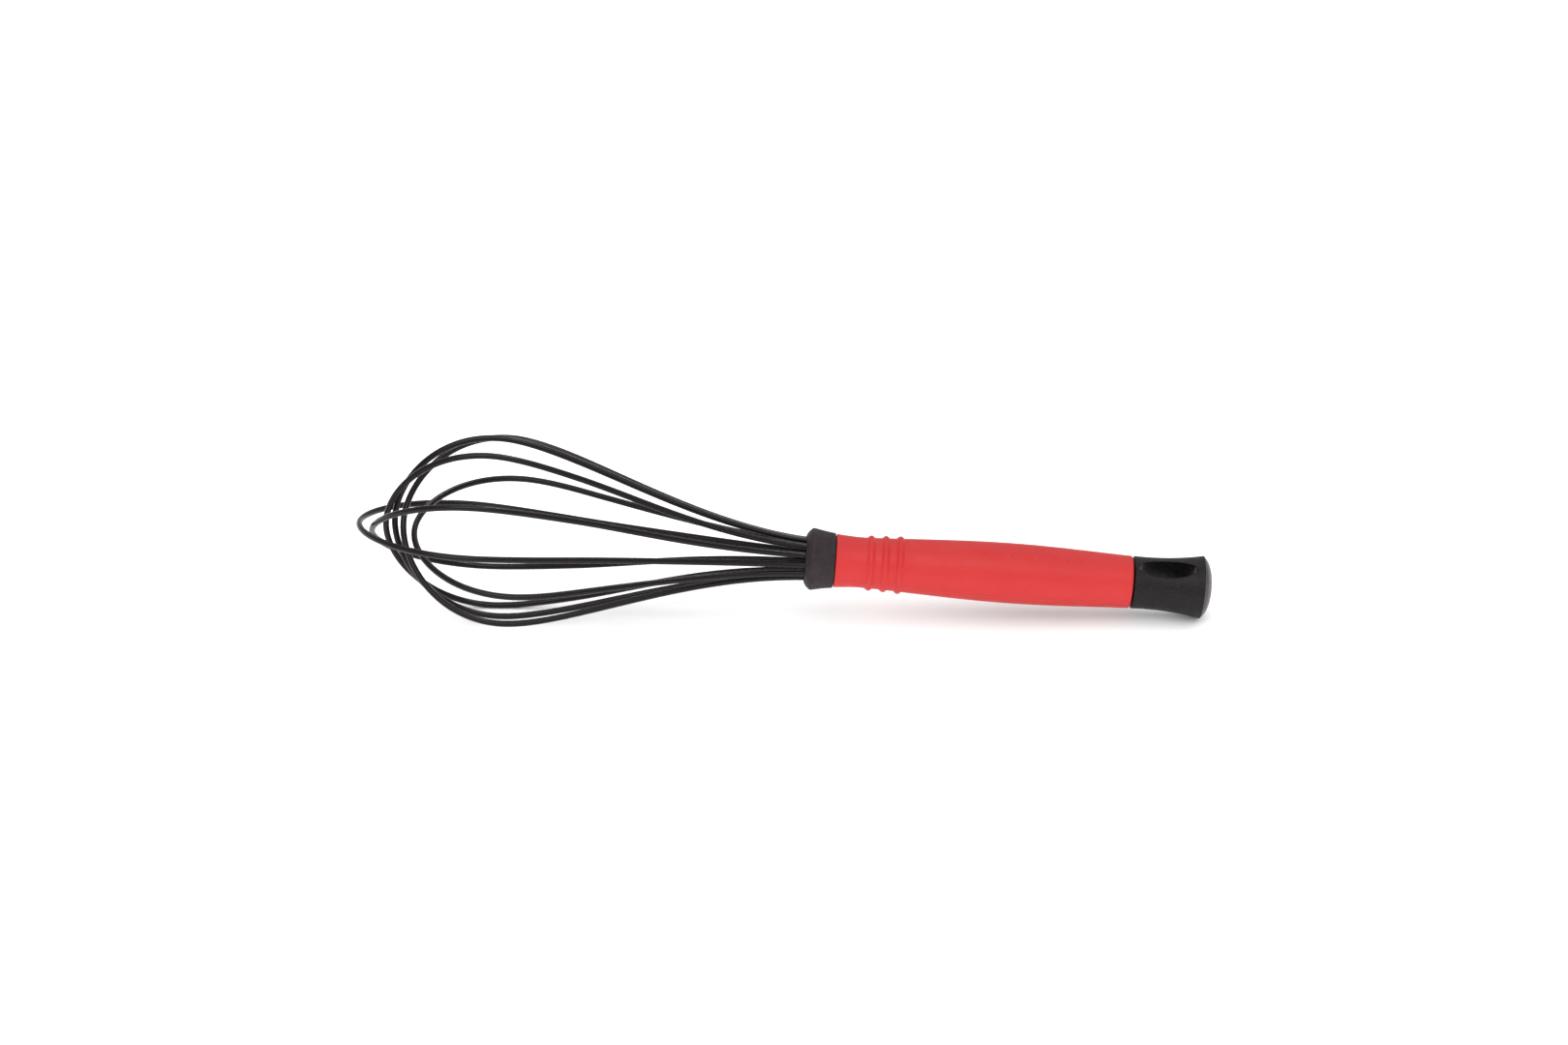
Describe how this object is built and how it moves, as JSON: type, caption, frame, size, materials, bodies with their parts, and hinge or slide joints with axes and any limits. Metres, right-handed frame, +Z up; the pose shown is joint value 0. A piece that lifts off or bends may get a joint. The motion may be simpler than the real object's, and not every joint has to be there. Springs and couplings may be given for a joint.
{
  "type": "balloon whisk",
  "caption": "Balloon whisk: closed loops of silicone-coated wire around a spindle grip with finger ridges, a rubber collar and a waisted end cap with a hanging slot.",
  "frame": {"origin": "centre of the footprint on the table the whisk lies on, at table height", "axes": "+X from the wire cage towards the end cap, +Z up from the table, -Y towards the side that the hanging slot is turned to"},
  "size_m": [0.2989, 0.0659, 0.0639],
  "materials": {
    "wire_silicone": "satin black silicone",
    "spring_steel": "drawn spring steel",
    "black_nylon": "plain moulded black",
    "clear_resin": "cast epoxy",
    "collar_rubber": "matt black rubber",
    "grip_silicone": "soft matt coral red silicone",
    "cap_plastic": "black with a fine moulded grain, smooth in the slot"
  },
  "bodies": {
    "root": {"wire_coating_1": "wire_silicone", "wire_coating_2": "wire_silicone", "wire_coating_3": "wire_silicone", "wire_coating_4": "wire_silicone", "wire_coating_5": "wire_silicone", "wire_coating_6": "wire_silicone", "wire_core_1": "spring_steel", "wire_core_2": "spring_steel", "wire_core_3": "spring_steel", "wire_core_4": "spring_steel", "wire_core_5": "spring_steel", "wire_core_6": "spring_steel", "wire_plug": "black_nylon", "crimp_ring": "spring_steel", "wire_potting": "clear_resin", "handle_core": "black_nylon", "collar": "collar_rubber", "grip_sleeve": "grip_silicone", "end_cap": "cap_plastic"}
  },
  "joints": []
}
